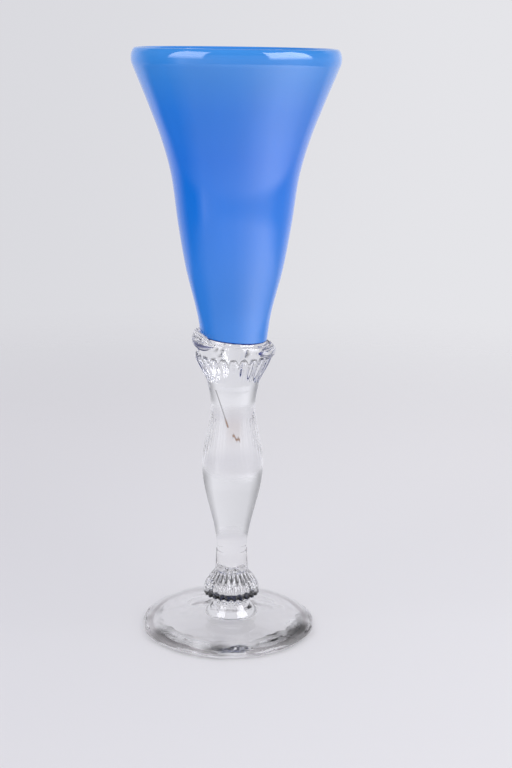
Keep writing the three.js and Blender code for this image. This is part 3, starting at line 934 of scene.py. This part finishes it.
def studio_world(studio):
    """The room: plainly pale to the camera, while glass shows more of it.

    Glass shows the table, the pale backdrop and the two softboxes, and the dark between and above them.
    """
    world = bpy.data.worlds.new("pale_studio")
    world.use_nodes = True
    tree = world.node_tree
    tree.nodes.clear()
    facing = node(tree, "ShaderNodeTexCoord").outputs["Generated"]
    parts = node(tree, "ShaderNodeSeparateXYZ", [facing]).outputs
    rise = parts["Z"]
    ahead = node(tree, "ShaderNodeMath", [parts["Y"], -1.0], operation="MULTIPLY")
    sideways = node(tree, "ShaderNodeMath", [parts["X"], ahead], operation="ARCTAN2")
    turn = node(tree, "ShaderNodeMapRange", [sideways, -math.pi, math.pi])
    table, beyond, boxes, lower_through, level_through, boxes_through, tops = (
        node(tree, "ShaderNodeValToRGB", [turn], all_round(stops))
        for stops in (TABLE, BEYOND, SOFTBOXES, LOWER_THROUGH, LEVEL_THROUGH, SOFTBOXES_THROUGH, TOPS))
    past_table, past_lower, past_sides = (
        node(tree, "ShaderNodeMapRange", [rise, *span], **SOFTLY)
        for span in (TABLE_TO_BEYOND, LOWER_TO_LEVEL, SIDES_TO_SOFTBOXES))
    lit = node(tree, "ShaderNodeMapRange", [rise, *NEAR_TABLE, NEAR_TABLE_SHADE, 1.0], **SOFTLY)

    rays = node(tree, "ShaderNodeLightPath").outputs
    passed = rays["Is Transmission Ray"]
    lit_table = node(tree, "ShaderNodeMath", [table, lit], operation="MULTIPLY")
    low_mirrored = node(tree, "ShaderNodeMix", {FACTOR: past_table, FROM: lit_table, TO: beyond})
    low_through = node(tree, "ShaderNodeMix", {FACTOR: past_lower, FROM: lower_through, TO: level_through})
    low = node(tree, "ShaderNodeMix", {FACTOR: passed, FROM: low_mirrored, TO: low_through})
    above = node(tree, "ShaderNodeMix", {FACTOR: passed, FROM: boxes, TO: boxes_through})
    sides = node(tree, "ShaderNodeMix", {FACTOR: past_sides, FROM: low, TO: above})
    past_tops = node(tree, "ShaderNodeMath", [tops, -PEAK, rise], operation="MULTIPLY_ADD")
    over = node(tree, "ShaderNodeMapRange", [past_tops, *TO_CEILING], **SOFTLY)
    room = node(tree, "ShaderNodeMix", {FACTOR: over, FROM: sides, TO: CEILING / PEAK})
    tinted = node(tree, "ShaderNodeVectorMath", [linear(ROOM_COLOUR)[:3], room], operation="MULTIPLY")
    in_glass = node(tree, "ShaderNodeBackground", {"Color": tinted, "Strength": PEAK})

    across = node(tree, "ShaderNodeMapRange", [parts["X"], *BACKDROP_ACROSS], **SOFTLY)
    backdrop = node(tree, "ShaderNodeValToRGB", [across], [(share, linear(code)) for share, code in BACKDROP])
    seen = node(tree, "ShaderNodeBackground", {"Color": backdrop, "Strength": 1.0})
    fill = node(tree, "ShaderNodeBackground", {"Color": linear(FILL_COLOUR), "Strength": studio.fill})
    unseen = node(tree, "ShaderNodeMixShader", [seen_by_glass(tree), fill, in_glass])
    whole = node(tree, "ShaderNodeMixShader", [rays["Is Camera Ray"], unseen, seen])
    node(tree, "ShaderNodeOutputWorld", {"Surface": whole})
    bpy.context.scene.world = world


SOFTBOX_ELEVATION = math.radians(34)
SOFTBOX_DISTANCE = 1.3
SOFTBOX_HEIGHT = 1.3
GOBLET_MIDDLE = Vector((0, 0, 0.14))


def softbox(name, azimuth, width, strength):
    """A rectangular soft light that faces the goblet, so many degrees to the right of the front."""
    data = bpy.data.lights.new(name, "AREA")
    data.shape = "RECTANGLE"
    data.size, data.size_y = width, SOFTBOX_HEIGHT
    data.energy = strength * math.pi * width * SOFTBOX_HEIGHT
    box = bpy.data.objects.new(name, data)
    bpy.context.scene.collection.objects.link(box)
    turn, rise = math.radians(azimuth), SOFTBOX_ELEVATION
    way = Vector((math.sin(turn) * math.cos(rise), -math.cos(turn) * math.cos(rise), math.sin(rise)))
    box.location = GOBLET_MIDDLE + way * SOFTBOX_DISTANCE
    box.rotation_mode = "QUATERNION"
    box.rotation_quaternion = way.to_track_quat("Z", "Y")
    box.visible_glossy = box.visible_transmission = False


# The camera as fitted to the photograph: its place, its turns in degrees and its focal length
CAMERA_PLACE = (0, -0.6343, 0.27886)
CAMERA_PITCH, CAMERA_YAW, CAMERA_ROLL = 14.128, 0.946, 0.782
FOCAL_LENGTH_PX = 1418
PHOTO_LONG_SIDE_PX = 768
SENSOR_MM = 36.0


def photo_camera():
    """The camera at the photograph's viewing angle."""
    camera = bpy.data.cameras.new("camera")
    camera.sensor_width = SENSOR_MM
    camera.lens = FOCAL_LENGTH_PX / PHOTO_LONG_SIDE_PX * SENSOR_MM
    camera.clip_start, camera.clip_end = 0.01, 50
    view = bpy.data.objects.new("camera", camera)
    bpy.context.scene.collection.objects.link(view)
    pitch, yaw, roll = (math.radians(degrees) for degrees in (CAMERA_PITCH, CAMERA_YAW, CAMERA_ROLL))
    ahead = Vector((math.sin(yaw) * math.cos(pitch), math.cos(yaw) * math.cos(pitch), -math.sin(pitch)))
    level = Vector((math.cos(yaw), -math.sin(yaw), 0))
    above = level.cross(ahead)
    right = level * math.cos(roll) + above * math.sin(roll)
    up = above * math.cos(roll) - level * math.sin(roll)
    view.matrix_world = Matrix.Translation(CAMERA_PLACE) @ Matrix((right, up, -ahead)).transposed().to_4x4()
    return view


class GOBLET_OT_studio(bpy.types.Operator):
    """Add the pale floor, the backdrop, the two softboxes and the camera"""
    bl_idname = "goblet.studio"
    bl_label = "Studio"

    def execute(self, context):
        studio = context.scene.goblet_studio
        bpy.ops.object.select_all(action="DESELECT")
        bpy.ops.mesh.primitive_plane_add(size=8.0, location=CENTRE)
        floor = context.object
        floor.name = "floor"
        floor.data.materials.append(pale_floor(studio))
        studio_world(studio)
        softbox("softbox_left", azimuth=-57, width=0.85, strength=studio.left_light)
        softbox("softbox_right", azimuth=63, width=1.2, strength=studio.right_light)
        scene = context.scene
        scene.camera = photo_camera()
        scene.view_settings.view_transform = "Standard"
        # Light turns many times between the ribs and in the solid stem before it comes out.
        turns = 48
        scene.cycles.max_bounces = scene.cycles.glossy_bounces = scene.cycles.transmission_bounces = turns
        scene.cycles.transparent_max_bounces = 32
        return {"FINISHED"}


class GOBLET_PT_sidebar(bpy.types.Panel):
    """Lists the goblet's pieces and the studio"""
    bl_label = "Goblet"
    bl_idname = "GOBLET_PT_sidebar"
    bl_space_type = "VIEW_3D"
    bl_region_type = "UI"
    bl_category = "Goblet"

    def draw(self, context):
        for operator in OPERATORS:
            self.layout.operator(operator.bl_idname)
        for name, group in GROUPS.items():
            box = self.layout.box()
            for field in group.__annotations__:
                box.prop(getattr(context.scene, name), field)


OPERATORS = [GOBLET_OT_studio, GOBLET_OT_foot, GOBLET_OT_merese, GOBLET_OT_knop, GOBLET_OT_baluster,
             GOBLET_OT_calyx, GOBLET_OT_bowl, GOBLET_OT_collar]
CLASSES = [*GROUPS.values(), *OPERATORS, GOBLET_PT_sidebar]


def register():
    for cls in CLASSES:
        bpy.utils.register_class(cls)
    for name, group in GROUPS.items():
        setattr(bpy.types.Scene, name, bpy.props.PointerProperty(type=group))


def unregister():
    for name in GROUPS:
        delattr(bpy.types.Scene, name)
    for cls in reversed(CLASSES):
        bpy.utils.unregister_class(cls)


def main():
    register()
    bpy.ops.goblet.studio()
    bpy.ops.goblet.foot()
    bpy.ops.goblet.merese()
    bpy.ops.goblet.knop()
    bpy.ops.goblet.baluster()
    bpy.ops.goblet.calyx()
    bpy.ops.goblet.bowl()
    bpy.ops.goblet.collar()


if __name__ == "__main__":
    main()
